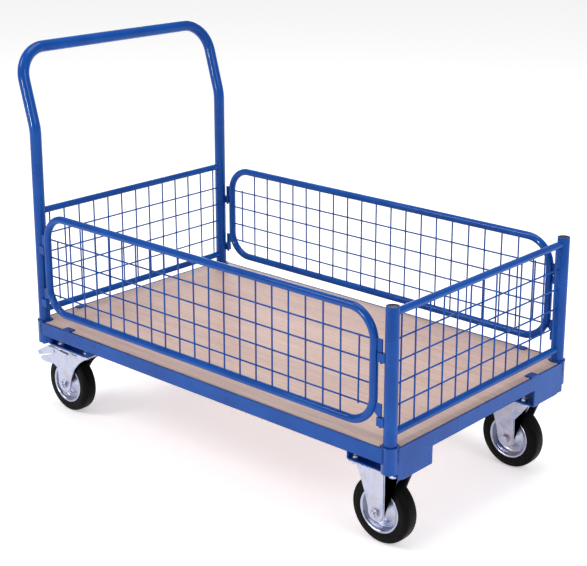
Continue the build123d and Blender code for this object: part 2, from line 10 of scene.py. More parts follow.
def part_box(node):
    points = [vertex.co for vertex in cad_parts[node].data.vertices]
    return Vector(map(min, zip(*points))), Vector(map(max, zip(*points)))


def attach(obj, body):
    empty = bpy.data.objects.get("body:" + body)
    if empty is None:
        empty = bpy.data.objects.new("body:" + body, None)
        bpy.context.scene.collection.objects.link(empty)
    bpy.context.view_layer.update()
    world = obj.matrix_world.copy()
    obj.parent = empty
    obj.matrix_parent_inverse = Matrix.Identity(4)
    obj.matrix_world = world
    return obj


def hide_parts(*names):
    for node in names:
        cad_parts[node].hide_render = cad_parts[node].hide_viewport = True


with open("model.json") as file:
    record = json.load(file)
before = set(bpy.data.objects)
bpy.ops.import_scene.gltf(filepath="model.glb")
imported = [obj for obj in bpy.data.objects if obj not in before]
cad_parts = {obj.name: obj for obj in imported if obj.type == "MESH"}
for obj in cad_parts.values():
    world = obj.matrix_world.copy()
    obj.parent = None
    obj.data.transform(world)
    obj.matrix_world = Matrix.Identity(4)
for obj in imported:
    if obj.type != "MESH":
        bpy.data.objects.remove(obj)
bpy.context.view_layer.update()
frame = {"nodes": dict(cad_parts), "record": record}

# Flatbed platform truck, in metres: +X is the front end, +Y the truck's left, +Z up.
sides = {"left": 1, "right": -1}
ends = {"front": 1, "handle": -1}
frameBody = "truck_frame"


def middle(node):
    low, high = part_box(node)
    return (low + high) / 2


def extent(node):
    low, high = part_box(node)
    return high - low


def toLinear(hexValue):
    channels = [int(hexValue[i:i + 2], 16) / 255 for i in (1, 3, 5)]
    return [c / 12.92 if c <= 0.04045 else ((c + 0.055) / 1.055) ** 2.4 for c in channels] + [1.0]


def addNode(tree, kind, settings=None, links=None):
    # Settings name either a property of the node or one of its inputs
    node = tree.nodes.new(kind)
    for key, value in (settings or {}).items():
        if isinstance(key, str) and hasattr(node, key):
            setattr(node, key, value)
        else:
            node.inputs[key].default_value = value
    for key, source in (links or {}).items():
        tree.links.new(source, node.inputs[key])
    return node


def startMaterial(name, settings):
    material = bpy.data.materials.new(name)
    material.use_nodes = True
    tree = material.node_tree
    tree.nodes.clear()
    shader = addNode(tree, "ShaderNodeBsdfPrincipled", settings)
    addNode(tree, "ShaderNodeOutputMaterial", {}, {"Surface": shader.outputs[0]})
    place = addNode(tree, "ShaderNodeTexCoord").outputs["Object"]
    return material, tree, shader, place


def grain(tree, place, size, detail=3.0, stretch=(1, 1, 1), roughness=0.5, turn=(0, 0, 0)):
    # Noise whose features measure about size metres, drawn out by stretch
    mapping = addNode(tree, "ShaderNodeMapping", {"Scale": [1 / s for s in stretch], "Rotation": turn},
                      {"Vector": place})
    noise = addNode(tree, "ShaderNodeTexNoise",
                    {"Scale": 1 / size, "Detail": detail, "Roughness": roughness},
                    {"Vector": mapping.outputs[0]})
    return noise.outputs["Fac"]


def ramp(tree, factor, stops):
    node = addNode(tree, "ShaderNodeValToRGB", {}, {"Fac": factor})
    elements = node.color_ramp.elements
    for index, (position, colour) in enumerate(stops):
        element = elements[index] if index < 2 else elements.new(position)
        element.position = position
        element.color = toLinear(colour)
    return node.outputs["Color"]


def remap(tree, value, low, high, fromLow=0.3, fromHigh=0.7):
    # Noise stays mostly between 0.3 and 0.7, so that is what is stretched over low to high
    node = addNode(tree, "ShaderNodeMapRange",
                   {"From Min": fromLow, "From Max": fromHigh, "To Min": low, "To Max": high},
                   {"Value": value})
    return node.outputs["Result"]


def mixColours(tree, factor, first, second):
    # The factor is a number or a socket; 6 and 7 are the node's two colour inputs
    node = addNode(tree, "ShaderNodeMix", {"data_type": "RGBA"}, {6: first, 7: second})
    if hasattr(factor, "node"):
        tree.links.new(factor, node.inputs[0])
    else:
        node.inputs[0].default_value = factor
    return node.outputs[2]


def bump(tree, height, strength, distance):
    return addNode(tree, "ShaderNodeBump", {"Strength": strength, "Distance": distance},
                   {"Height": height}).outputs[0]


paintLook = {
    "body": "#00489c", "thin": "#034fa6", "thick": "#004091",
    "roughness": (0.24, 0.34), "cloudSize": 0.11, "coat": 0.3, "coatRoughness": 0.035,
    "peelSize": 0.0022, "peelStrength": 0.35, "peelDepth": 0.00006,
}


def makePowderCoat():
    # Gloss powder coat on steel: an even blue with a faint orange peel that softens its highlights
    material, tree, shader, place = startMaterial("bluePowderCoat", {
        "IOR": 1.45, "Specular IOR Level": 0.1, "Coat Weight": paintLook["coat"],
        "Coat Roughness": paintLook["coatRoughness"]})
    cloud = grain(tree, place, paintLook["cloudSize"])
    colour = ramp(tree, cloud, [(0.3, paintLook["thick"]), (0.7, paintLook["thin"]),
                                (0.5, paintLook["body"])])
    peel = grain(tree, place, paintLook["peelSize"], 1.5)
    tree.links.new(colour, shader.inputs["Base Color"])
    tree.links.new(remap(tree, cloud, *paintLook["roughness"]), shader.inputs["Roughness"])
    tree.links.new(bump(tree, peel, paintLook["peelStrength"], paintLook["peelDepth"]),
                   shader.inputs["Normal"])
    return material


zincLook = {
    "pale": "#b4b7cb", "blue": "#9ba4bd", "warm": "#aeaab0",
    "roughness": (0.2, 0.4), "patchSize": 0.03, "streakSize": 0.0016, "streakStretch": (1, 1, 6),
    "streakStrength": 0.25, "streakDepth": 0.00005,
}


def makeBrightZinc():
    # Bright electroplated zinc, blue-passivated: pale lilac-grey metal with soft uneven patches
    material, tree, shader, place = startMaterial("brightZincPlate", {"Metallic": 1.0})
    patches = grain(tree, place, zincLook["patchSize"], 4.0)
    streaks = grain(tree, place, zincLook["streakSize"], 2.0, zincLook["streakStretch"])
    colour = ramp(tree, patches, [(0.32, zincLook["blue"]), (0.72, zincLook["warm"]),
                                  (0.5, zincLook["pale"])])
    tree.links.new(colour, shader.inputs["Base Color"])
    tree.links.new(remap(tree, patches, *zincLook["roughness"]), shader.inputs["Roughness"])
    tree.links.new(bump(tree, streaks, zincLook["streakStrength"], zincLook["streakDepth"]),
                   shader.inputs["Normal"])
    return material


beechLook = {
    "early": "#d8bbb0", "late": "#c5a598", "deep": "#b59384", "fleck": "#9a7869",
    "bandWidth": 0.055, "grainWidth": 0.0065, "lengthwise": (16, 1, 1), "lineShare": 0.5,
    "fleckWidth": 0.0016, "fleckLengthwise": (7, 1, 1), "fleckShare": 0.4, "fleckFrom": (0.62, 0.72),
    "roughness": (0.42, 0.56), "poreStrength": 0.3, "poreDepth": 0.0001,
}


def makeBeechBoard():
    # Sealed beech-faced plywood: pinkish tan, straight grain along the deck, short dark flecks.
    # The flecks are drawn 1.6 mm wide, twice the real ones, because finer ones would not show.
    material, tree, shader, place = startMaterial("sealedBeechPly", {"IOR": 1.45})
    bands = grain(tree, place, beechLook["bandWidth"], 3.0, beechLook["lengthwise"], 0.6)
    fibres = grain(tree, place, beechLook["grainWidth"], 4.0, beechLook["lengthwise"], 0.65)
    flecks = grain(tree, place, beechLook["fleckWidth"], 1.0, beechLook["fleckLengthwise"], 0.4)
    base = ramp(tree, bands, [(0.3, beechLook["late"]), (0.68, beechLook["early"])])
    lines = ramp(tree, fibres, [(0.34, beechLook["deep"]), (0.6, beechLook["early"])])
    wood = mixColours(tree, beechLook["lineShare"], base, lines)
    fleckColour = addNode(tree, "ShaderNodeRGB")
    fleckColour.outputs[0].default_value = toLinear(beechLook["fleck"])
    fleckMask = remap(tree, flecks, 0.0, beechLook["fleckShare"], *beechLook["fleckFrom"])
    marked = mixColours(tree, fleckMask, wood, fleckColour.outputs[0])
    tree.links.new(marked, shader.inputs["Base Color"])
    tree.links.new(remap(tree, fibres, *beechLook["roughness"]), shader.inputs["Roughness"])
    tree.links.new(bump(tree, fibres, beechLook["poreStrength"], beechLook["poreDepth"]),
                   shader.inputs["Normal"])
    return material


rubberLook = {
    "body": "#020101", "bloom": "#060304", "roughness": (0.4, 0.56), "patchSize": 0.018,
    "skinSize": 0.0011, "skinStrength": 0.3, "skinDepth": 0.00008,
}


def makeRubber():
    # Solid black rubber from a mould: near-black, dull, with a faint brown bloom
    material, tree, shader, place = startMaterial("solidBlackRubber", {
        "IOR": 1.5, "Specular IOR Level": 0.09})
    patches = grain(tree, place, rubberLook["patchSize"], 5.0)
    skin = grain(tree, place, rubberLook["skinSize"], 2.0)
    colour = ramp(tree, patches, [(0.35, rubberLook["body"]), (0.75, rubberLook["bloom"])])
    tree.links.new(colour, shader.inputs["Base Color"])
    tree.links.new(remap(tree, patches, *rubberLook["roughness"]), shader.inputs["Roughness"])
    tree.links.new(bump(tree, skin, rubberLook["skinStrength"], rubberLook["skinDepth"]),
                   shader.inputs["Normal"])
    return material


capLook = {
    "dark": "#10151f", "light": "#1a2130", "roughness": (0.38, 0.52), "patchSize": 0.012,
    "pebbleSize": 0.0009, "pebbleStrength": 0.4, "pebbleDepth": 0.00008,
}


def makeCapPlastic():
    # Injection-moulded polyethylene plug: blue-black, satin, finely pebbled
    material, tree, shader, place = startMaterial("mouldedPolyethylene", {"IOR": 1.51})
    pebbles = grain(tree, place, capLook["pebbleSize"], 2.0)
    patches = grain(tree, place, capLook["patchSize"])
    colour = ramp(tree, patches, [(0.3, capLook["dark"]), (0.7, capLook["light"])])
    tree.links.new(colour, shader.inputs["Base Color"])
    tree.links.new(remap(tree, pebbles, *capLook["roughness"]), shader.inputs["Roughness"])
    tree.links.new(bump(tree, pebbles, capLook["pebbleStrength"], capLook["pebbleDepth"]),
                   shader.inputs["Normal"])
    return material


bearingLook = {"dark": "#8b8d92", "light": "#b6b8bd", "roughness": (0.14, 0.3), "filmSize": 0.006}


def makeBearingSteel():
    # Hardened and ground bearing steel under a film of grease: darker and glossier than the zinc
    material, tree, shader, place = startMaterial("groundBearingSteel", {"Metallic": 1.0})
    film = grain(tree, place, bearingLook["filmSize"])
    colour = ramp(tree, film, [(0.3, bearingLook["dark"]), (0.7, bearingLook["light"])])
    tree.links.new(colour, shader.inputs["Base Color"])
    tree.links.new(remap(tree, film, *bearingLook["roughness"]), shader.inputs["Roughness"])
    return material


finishOf = {
    "blue_paint": makePowderCoat(),
    "zinc_steel": makeBrightZinc(),
    "beech_board": makeBeechBoard(),
    "black_rubber": makeRubber(),
    "black_plastic": makeCapPlastic(),
    "bright_steel": makeBearingSteel(),
}
slotOf = {row["node"]: row["material_slot"] for row in frame["record"]["subparts"]}
bodyOf = {node: body for body, held in frame["record"]["behaviour"]["bodies"].items() for node in held}
for node, cadPiece in frame["nodes"].items():
    for materialSlot in cadPiece.material_slots:
        materialSlot.material = finishOf[slotOf[node]]
print("finishes made:", len(finishOf))


def addPiece(name, mesh, body, slotName, replaced=(), sharpAngle=35):
    mesh.name = name
    mesh.materials.clear()
    mesh.materials.append(finishOf[slotName])
    mesh.shade_smooth()
    mesh.set_sharp_from_angle(angle=math.radians(sharpAngle))
    piece = bpy.data.objects.new(name, mesh)
    bpy.context.scene.collection.objects.link(piece)
    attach(piece, body)
    if replaced:
        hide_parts(*replaced)
    return piece


def toMesh(work, mergeDistance=1e-6):
    bmesh.ops.remove_doubles(work, verts=work.verts, dist=mergeDistance)
    bmesh.ops.recalc_face_normals(work, faces=work.faces)
    mesh = bpy.data.meshes.new("piece")
    work.to_mesh(mesh)
    work.free()
    return mesh


edgeShape = {"merge": 2e-6, "flatAngle": 0.5, "sharpAngle": 38}


def softEdged(node, radius, segments=3):
    # The node's own shape with its hard edges rolled over, as pressed steel and sawn board have them
    work = bmesh.new()
    work.from_mesh(frame["nodes"][node].data)
    bmesh.ops.remove_doubles(work, verts=work.verts, dist=edgeShape["merge"])
    bmesh.ops.dissolve_limit(work, angle_limit=math.radians(edgeShape["flatAngle"]), verts=work.verts,
                             edges=work.edges)
    mesh = bpy.data.meshes.new(node)
    work.to_mesh(mesh)
    work.free()
    piece = addPiece(node + "Shape", mesh, bodyOf[node], slotOf[node], (node,), edgeShape["sharpAngle"])
    rolled = piece.modifiers.new("rolledEdges", "BEVEL")
    rolled.width = radius
    rolled.segments = segments
    rolled.limit_method = "ANGLE"
    rolled.angle_limit = math.radians(edgeShape["sharpAngle"])
    rolled.use_clamp_overlap = False
    rolled.harden_normals = True
    return piece


origin = (0, 0, 0)


def lathe(work, profile, steps, centre, axis="Y", closed=True):
    # Turns a profile of (distance along the axis, radius) about that axis
    centre = Vector(centre)
    rings = []
    for along, radius in profile:
        ring = []
        count = steps if radius > 1e-6 else 1
        for step in range(count):
            angle = 2 * math.pi * step / steps
            across, up = radius * math.cos(angle), radius * math.sin(angle)
            offset = Vector((across, along, up)) if axis == "Y" else Vector((across, up, along))
            ring.append(work.verts.new(centre + offset))
        rings.append(ring)
    pairs = list(zip(rings, rings[1:]))
    if closed:
        pairs.append((rings[-1], rings[0]))
    for near, far in pairs:
        for step in range(steps):
            after = (step + 1) % steps
            corners = [near[step % len(near)], near[after % len(near)], far[after % len(far)],
                       far[step % len(far)]]
            unique = list(dict.fromkeys(corners))
            if len(unique) > 2:
                work.faces.new(unique)


def arcPoints(centre, radius, start, end, steps):
    return [(centre[0] + radius * math.cos(math.radians(start + (end - start) * i / steps)),
             centre[1] + radius * math.sin(math.radians(start + (end - start) * i / steps)))
            for i in range(steps + 1)]


hexagonShape = {"steps": 36, "faceShare": 0.96, "chamfer": 28}


def addHexagon(work, flats, low, high, chamferLow=True, chamferHigh=True, turn=0.0):
    # Hexagon along +Z whose corners are turned down to a cone, as on real bolt heads and nuts
    steps = hexagonShape["steps"]
    inner = flats / 2 * hexagonShape["faceShare"]
    slope = math.tan(math.radians(hexagonShape["chamfer"]))

    def ring(height, chamfered, sign):
        made = []
        for step in range(steps):
            angle = 2 * math.pi * step / steps
            reach = flats / 2 / math.cos((angle % (math.pi / 3)) - math.pi / 6)
            drop = (reach - inner) * slope if chamfered else 0.0
            made.append(work.verts.new((reach * math.cos(angle + turn), reach * math.sin(angle + turn),
                                        height + sign * drop)))
        return made

    def flat(height):
        return [work.verts.new((inner * math.cos(2 * math.pi * i / steps + turn),
                                inner * math.sin(2 * math.pi * i / steps + turn), height))
                for i in range(steps)]

    loops = [flat(low), ring(low, chamferLow, 1), ring(high, chamferHigh, -1), flat(high)]
    for near, far in zip(loops, loops[1:]):
        for step in range(steps):
            after = (step + 1) % steps
            work.faces.new((near[step], near[after], far[after], far[step]))
    work.faces.new(list(reversed(loops[0])))
    work.faces.new(loops[-1])


threadShape = {"depth": 0.45, "tipDepth": 0.6, "rise": (0.15, 0.45), "fall": (0.6, 0.9)}


def threadProfile(radius, low, high, pitch):
    # Rounded crests and roots of a rolled thread, as rings; depths and places are shares of the pitch
    root = radius - pitch * threadShape["depth"]
    riseFrom, riseTo = threadShape["rise"]
    fallFrom, fallTo = threadShape["fall"]
    points = [(low, 0.0), (low, root)]
    turns = max(1, int((high - low) / pitch))
    for i in range(turns):
        start = low + (high - low) * i / turns
        step = (high - low) / turns
        points += [(start + step * riseFrom, root), (start + step * riseTo, radius),
                   (start + step * fallFrom, radius), (start + step * fallTo, root)]
    return points + [(high, radius - pitch * threadShape["tipDepth"]), (high, 0.0)]


def startTree(name, inputs):
    tree = bpy.data.node_groups.new(name, "GeometryNodeTree")
    tree.interface.new_socket("Geometry", in_out="INPUT", socket_type="NodeSocketGeometry")
    for label, kind in inputs.items():
        tree.interface.new_socket(label, in_out="INPUT", socket_type="NodeSocket" + kind)
    tree.interface.new_socket("Geometry", in_out="OUTPUT", socket_type="NodeSocketGeometry")
    return tree, addNode(tree, "NodeGroupInput").outputs


def endTree(tree, geometry, finish):
    realized = addNode(tree, "GeometryNodeRealizeInstances", {}, {"Geometry": geometry})
    painted = addNode(tree, "GeometryNodeSetMaterial", {},
                      {"Geometry": realized.outputs[0], "Material": finish})
    addNode(tree, "NodeGroupOutput", {}, {"Geometry": painted.outputs[0]})
    return tree


def bentTubeTree():
    # A round tube along the guide's edges, with each corner bent to the radius stored on it
    tree, given = startTree("bentTube", {"Tube Radius": "Float", "Tube Sides": "Int", "Bend Steps": "Int",
                                         "Finish": "Material"})
    bend = addNode(tree, "GeometryNodeInputNamedAttribute", {"data_type": "FLOAT", "Name": "bend"})
    path = addNode(tree, "GeometryNodeMeshToCurve", {}, {"Mesh": given["Geometry"]})
    bent = addNode(tree, "GeometryNodeFilletCurve", {"mode": "POLY"},
                   {"Curve": path.outputs[0], "Radius": bend.outputs["Attribute"],
                    "Count": given["Bend Steps"]})
    ring = addNode(tree, "GeometryNodeCurvePrimitiveCircle", {},
                   {"Radius": given["Tube Radius"], "Resolution": given["Tube Sides"]})
    tube = addNode(tree, "GeometryNodeCurveToMesh", {"Fill Caps": True},
                   {"Curve": bent.outputs[0], "Profile Curve": ring.outputs[0]})
    return endTree(tree, tube.outputs[0], given["Finish"])


def wireGridTree():
    # One straight wire at every guide point, turned and drawn out as the point says
    tree, given = startTree("wireGrid", {"Wire Radius": "Float", "Wire Sides": "Int", "Finish": "Material"})
    turn = addNode(tree, "GeometryNodeInputNamedAttribute", {"data_type": "FLOAT_VECTOR", "Name": "turn"})
    span = addNode(tree, "GeometryNodeInputNamedAttribute", {"data_type": "FLOAT_VECTOR", "Name": "span"})
    line = addNode(tree, "GeometryNodeCurvePrimitiveLine", {"Start": (0, 0, -0.5), "End": (0, 0, 0.5)})
    ring = addNode(tree, "GeometryNodeCurvePrimitiveCircle", {},
                   {"Radius": given["Wire Radius"], "Resolution": given["Wire Sides"]})
    wire = addNode(tree, "GeometryNodeCurveToMesh", {"Fill Caps": True},
                   {"Curve": line.outputs[0], "Profile Curve": ring.outputs[0]})
    placed = addNode(tree, "GeometryNodeInstanceOnPoints", {},
                     {"Points": given["Geometry"], "Instance": wire.outputs[0],
                      "Rotation": turn.outputs["Attribute"], "Scale": span.outputs["Attribute"]})
    return endTree(tree, placed.outputs[0], given["Finish"])


def weldBeadTree():
    # A row of small overlapping drops along the guide's edges
    tree, given = startTree("weldBead", {"Drop Radius": "Float", "Drop Pitch": "Float", "Seed": "Int",
                                         "Finish": "Material"})
    path = addNode(tree, "GeometryNodeMeshToCurve", {}, {"Mesh": given["Geometry"]})
    spaced = addNode(tree, "GeometryNodeResampleCurve", {"mode": "LENGTH"},
                     {"Curve": path.outputs[0], "Length": given["Drop Pitch"]})
    drop = addNode(tree, "GeometryNodeMeshIcoSphere", {"Subdivisions": 2}, {"Radius": given["Drop Radius"]})
    sizes = addNode(tree, "FunctionNodeRandomValue", {"data_type": "FLOAT", 2: 0.8, 3: 1.15},
                    {"Seed": given["Seed"]})
    placed = addNode(tree, "GeometryNodeInstanceOnPoints", {},
                     {"Points": spaced.outputs[0], "Instance": drop.outputs[0], "Scale": sizes.outputs[1]})
    return endTree(tree, placed.outputs[0], given["Finish"])


def fastenerTree():
    # One copy of the pattern piece at every guide point, turned as the point says
    tree, given = startTree("fastenerSet", {"Pattern": "Object", "Finish": "Material"})
    turn = addNode(tree, "GeometryNodeInputNamedAttribute", {"data_type": "FLOAT_VECTOR", "Name": "turn"})
    pattern = addNode(tree, "GeometryNodeObjectInfo", {"transform_space": "ORIGINAL"},
                      {"Object": given["Pattern"]})
    placed = addNode(tree, "GeometryNodeInstanceOnPoints", {},
                     {"Points": given["Geometry"], "Instance": pattern.outputs["Geometry"],
                      "Rotation": turn.outputs["Attribute"]})
    return endTree(tree, placed.outputs[0], given["Finish"])


trees = {"tube": bentTubeTree(), "wires": wireGridTree(), "weld": weldBeadTree(),
         "fasteners": fastenerTree()}


def grow(treeName, settings, points, edges=(), attributes=None):
    # Runs a tree on a bare guide of points and edges and keeps the plain mesh it makes
    guide = bpy.data.meshes.new("guide")
    guide.from_pydata([tuple(p) for p in points], list(edges), [])
    for label, values in (attributes or {}).items():
        isVector = hasattr(values[0], "__len__")
        layer = guide.attributes.new(label, "FLOAT_VECTOR" if isVector else "FLOAT", "POINT")
        flat = [c for v in values for c in v] if isVector else list(values)
        layer.data.foreach_set("vector" if isVector else "value", flat)
    holder = bpy.data.objects.new("guide", guide)
    bpy.context.scene.collection.objects.link(holder)
    modifier = holder.modifiers.new("grow", "NODES")
    modifier.node_group = trees[treeName]
    for item in trees[treeName].interface.items_tree:
        if item.item_type == "SOCKET" and item.in_out == "INPUT" and item.name in settings:
            modifier[item.identifier] = settings[item.name]
    depsgraph = bpy.context.evaluated_depsgraph_get()
    mesh = bpy.data.meshes.new_from_object(holder.evaluated_get(depsgraph))
    bpy.data.objects.remove(holder)
    bpy.data.meshes.remove(guide)
    return mesh


def chain(count, closed=False):
    return [(i, (i + 1) % count) for i in range(count if closed else count - 1)]


# Deck frame: angle-steel rails, cross members, castor brackets, clips and board
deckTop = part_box("deck_board")[1].z
rollRadius = {"rail": 0.0011, "cross": 0.002, "bracket": 0.0012, "clip": 0.0008, "board": 0.0006,
              "hook": 0.0007, "catch": 0.0009}
for name in ("side_rail_left", "side_rail_right", "end_rail_front", "end_rail_handle"):
    softEdged(name, rollRadius["rail"])
softEdged("cross_members", rollRadius["cross"])
for end in ends:
    for side in sides:
        softEdged(f"castor_bracket_{end}_{side}", rollRadius["bracket"])
softEdged("deck_clips", rollRadius["clip"])
softEdged("deck_board", rollRadius["board"])

# Ground-flush welds where the brackets' outer flanges meet the end rails
flushWeld = {"depth": 0.0016, "halfHeight": 0.0017, "proud": 0.00002}
work = bmesh.new()
for end, sign in ends.items():
    railLow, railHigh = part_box(f"end_rail_{end}")
    face = railHigh.x if sign > 0 else railLow.x
    for side in sides:
        low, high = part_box(f"castor_bracket_{end}_{side}")
        outerX, innerX = face + sign * flushWeld["proud"], face - sign * flushWeld["depth"]
        levels = (railLow.z - flushWeld["halfHeight"], railLow.z + flushWeld["halfHeight"])
        section = ((outerX, levels[0]), (outerX, levels[1]), (innerX, levels[1]), (innerX, levels[0]))
        loops = [[work.verts.new((x, y, z)) for x, z in section] for y in (low.y, high.y)]
        work.faces.new(loops[0])
        work.faces.new(list(reversed(loops[1])))
        for i in range(4):
            j = (i + 1) % 4
            work.faces.new((loops[0][j], loops[0][i], loops[1][i], loops[1][j]))
addPiece("flushWelds", toMesh(work), frameBody, "blue_paint")

# Corner sockets: round tubes with a raised collar at the mouth
socketShape = {"steps": 64, "lip": 0.0012, "foot": 0.0015, "footTurn": 0.3, "collarRise": 0.003,
               "wallEnd": 0.001, "stepDrop": 0.0002, "stepIn": 0.0003, "collarStart": 0.0004,
               "wallRadius": 0.019, "bore": 0.0152, "mouth": 0.0004, "sharpAngle": 50}
postCentres = {}
for end in ends:
    for side in sides:
        node = f"corner_socket_{end}_{side}"
        low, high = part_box(node)
        centre = middle(node)
        postCentres[end, side] = centre
        foot, lip, wall = socketShape["foot"], socketShape["lip"], socketShape["wallRadius"]
        bore, mouth = socketShape["bore"], socketShape["mouth"]
        turned = foot * socketShape["footTurn"]
        collar = extent(node).x / 2
        shoulder = high.z - socketShape["collarRise"]
        profile = [(low.z + foot, wall), (shoulder - socketShape["wallEnd"], wall),
                   (shoulder - socketShape["stepDrop"], collar - socketShape["stepIn"]),
                   (shoulder + socketShape["collarStart"], collar)]
        profile += [(z, r) for r, z in arcPoints((collar - lip, high.z - lip), lip, 0, 90, 4)]
        profile += [(high.z, bore + mouth), (high.z - mouth, bore), (low.z, bore), (low.z, wall - foot),
                    (low.z + turned, wall - turned)]
        work = bmesh.new()
        lathe(work, profile, socketShape["steps"], (centre.x, centre.y, 0), "Z")
        addPiece(node + "Shape", toMesh(work), frameBody, "blue_paint", (node,),
                 socketShape["sharpAngle"])
print("deck frame done")

# Push handle, front posts and their caps
handleShape = {"Tube Radius": 0.015, "Tube Sides": 48, "Bend Steps": 22}
handleBends = {"kinkDrop": 0.199, "kink": 0.12, "top": 0.08}
low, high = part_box("handle_tube")
radius = handleShape["Tube Radius"]
footX, barX = high.x - radius, low.x + radius
sideY, barZ = high.y - radius, high.z - radius
kinkZ = barZ - handleBends["kinkDrop"]
handlePath = [(footX, -sideY, low.z), (footX, -sideY, kinkZ), (barX, -sideY, barZ),
              (barX, sideY, barZ), (footX, sideY, kinkZ), (footX, sideY, low.z)]
bends = [0.0, handleBends["kink"], handleBends["top"], handleBends["top"], handleBends["kink"], 0.0]
mesh = grow("tube", {**handleShape, "Finish": finishOf["blue_paint"]}, handlePath,
            chain(len(handlePath)), {"bend": bends})
addPiece("pushHandle", mesh, frameBody, "blue_paint", ("handle_tube",))

postShape = {"steps": 64, "wall": 0.002, "rim": 0.0006}
capShape = {"edge": 0.0008, "dish": 0.0005, "shallow": 0.2, "shallowReach": 0.6}
capLow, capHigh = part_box("post_caps")
plug = (capHigh.x - capLow.x) / 2
capMeshes = bmesh.new()
for side in sides:
    node = f"front_post_{side}"
    low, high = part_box(node)
    centre = middle(node)
    outer = extent(node).x / 2
    inner = outer - postShape["wall"]
    rim = postShape["rim"]
    profile = [(low.z, outer), (high.z - rim, outer)]
    profile += [(z, r) for r, z in arcPoints((outer - rim, high.z - rim), rim, 0, 90, 3)]
    profile += [(high.z, inner), (low.z, inner)]
    work = bmesh.new()
    lathe(work, profile, postShape["steps"], (centre.x, centre.y, 0), "Z")
    addPiece(f"frontPost_{side}", toMesh(work), frameBody, "blue_paint", (node,))
    edge, dish = capShape["edge"], capShape["dish"]
    profile = [(capLow.z, 0.0), (capLow.z, plug - edge), (capLow.z + edge, plug)]
    profile += [(z, r) for r, z in arcPoints((plug - edge, capHigh.z - edge), edge, 0, 90, 4)]
    profile += [(capHigh.z - dish * capShape["shallow"], plug * capShape["shallowReach"]),
                (capHigh.z - dish, 0.0)]
    lathe(capMeshes, profile, postShape["steps"], (centre.x, centre.y, 0), "Z", closed=False)
addPiece("postCapPair", toMesh(capMeshes), frameBody, "black_plastic", ("post_caps",))
print("handle and posts done")

# End walls and side panels: tubes, wire grids, hooks and catches
wallShape = {"Tube Sides": 40, "Bend Steps": 1}
panelShape = {"Tube Radius": 0.0095, "Tube Sides": 40, "Bend Steps": 18}
panelBend = 0.066
wireShape = {"Wire Radius": 0.002, "Wire Sides": 14}
gridShape = {"pitch": 0.05, "rows": 4, "wallFirstRow": 0.086, "panelFirstRow": 0.083, "layer": 0.0036,
             "wander": 0.0011, "columnWander": 0.0006, "rowWander": 0.0008, "overhang": 0.003,
             "sink": 0.001, "wallColumns": 6, "panelColumns": 10}
upright = (0.0, 0.0, 0.0)
alongX = tuple(Euler((0, math.pi / 2, 0)))
alongY = tuple(Euler((math.pi / 2, 0, 0)))
shake = random.Random(11)


def wander(amount):
    return shake.uniform(-amount, amount)


def leaning(turn, length):
    # Welded grids are never dead straight: one end of a wire lies up to a millimetre off the other
    lean = gridShape["wander"] / length
    return tuple(angle + wander(lean) for angle in turn)


def growWires(name, wires, body, replaced):
    points, turns, spans = zip(*wires)
    mesh = grow("wires", {**wireShape, "Finish": finishOf["blue_paint"]}, points, (),
                {"turn": turns, "span": spans})
    return addPiece(name, mesh, body, "blue_paint", replaced)


weldPaths = {frameBody: [], "panel_left": [], "panel_right": []}
weldRingSteps = 24
for end, sign in ends.items():
    node = f"{end}_wall_rails"
    low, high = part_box(node)
    x = (low.x + high.x) / 2
    tubeRadius = extent(node).x / 2
    levels = (low.z + tubeRadius, high.z - tubeRadius)
    points = [(x, y, z) for z in levels for y in (low.y, high.y)]
    mesh = grow("tube", {**wallShape, "Tube Radius": tubeRadius, "Finish": finishOf["blue_paint"]},
                points, [(0, 1), (2, 3)], {"bend": [0.0] * 4})
    addPiece(f"{end}WallTubes", mesh, frameBody, "blue_paint", (node,))

    meshNode = f"{end}_wall_mesh"
    pitch = gridShape["pitch"]
    sink = gridShape["sink"]
    clearLow, clearHigh = levels[0] + tubeRadius - sink, levels[1] - tubeRadius + sink
    length = clearHigh - clearLow
    wires = []
    for i in range(-gridShape["wallColumns"], gridShape["wallColumns"] + 1):
        wires.append(((x, i * pitch + wander(gridShape["columnWander"]), (clearLow + clearHigh) / 2),
                      leaning(upright, length), (1, 1, length)))
    reach = extent(meshNode).y
    for row in range(gridShape["rows"]):
        z = deckTop + gridShape["wallFirstRow"] + row * pitch
        wires.append(((x - sign * gridShape["layer"], 0, z + wander(gridShape["rowWander"])),
                      leaning(alongY, reach), (1, 1, reach)))
    growWires(f"{end}WallGrid", wires, frameBody, (meshNode,))

    postRadius = handleShape["Tube Radius"]
    for side, y in sides.items():
        post = postCentres[end, side]
        for z in levels:
            ring = []  # where the rail's end meets the round post
            for step in range(weldRingSteps):
                angle = 2 * math.pi * step / weldRingSteps
                across, up = tubeRadius * math.cos(angle), tubeRadius * math.sin(angle)
                inward = math.sqrt(postRadius ** 2 - across ** 2)
                ring.append((post.x + across, post.y - y * inward, z + up))
            weldPaths[frameBody].append((ring, True))

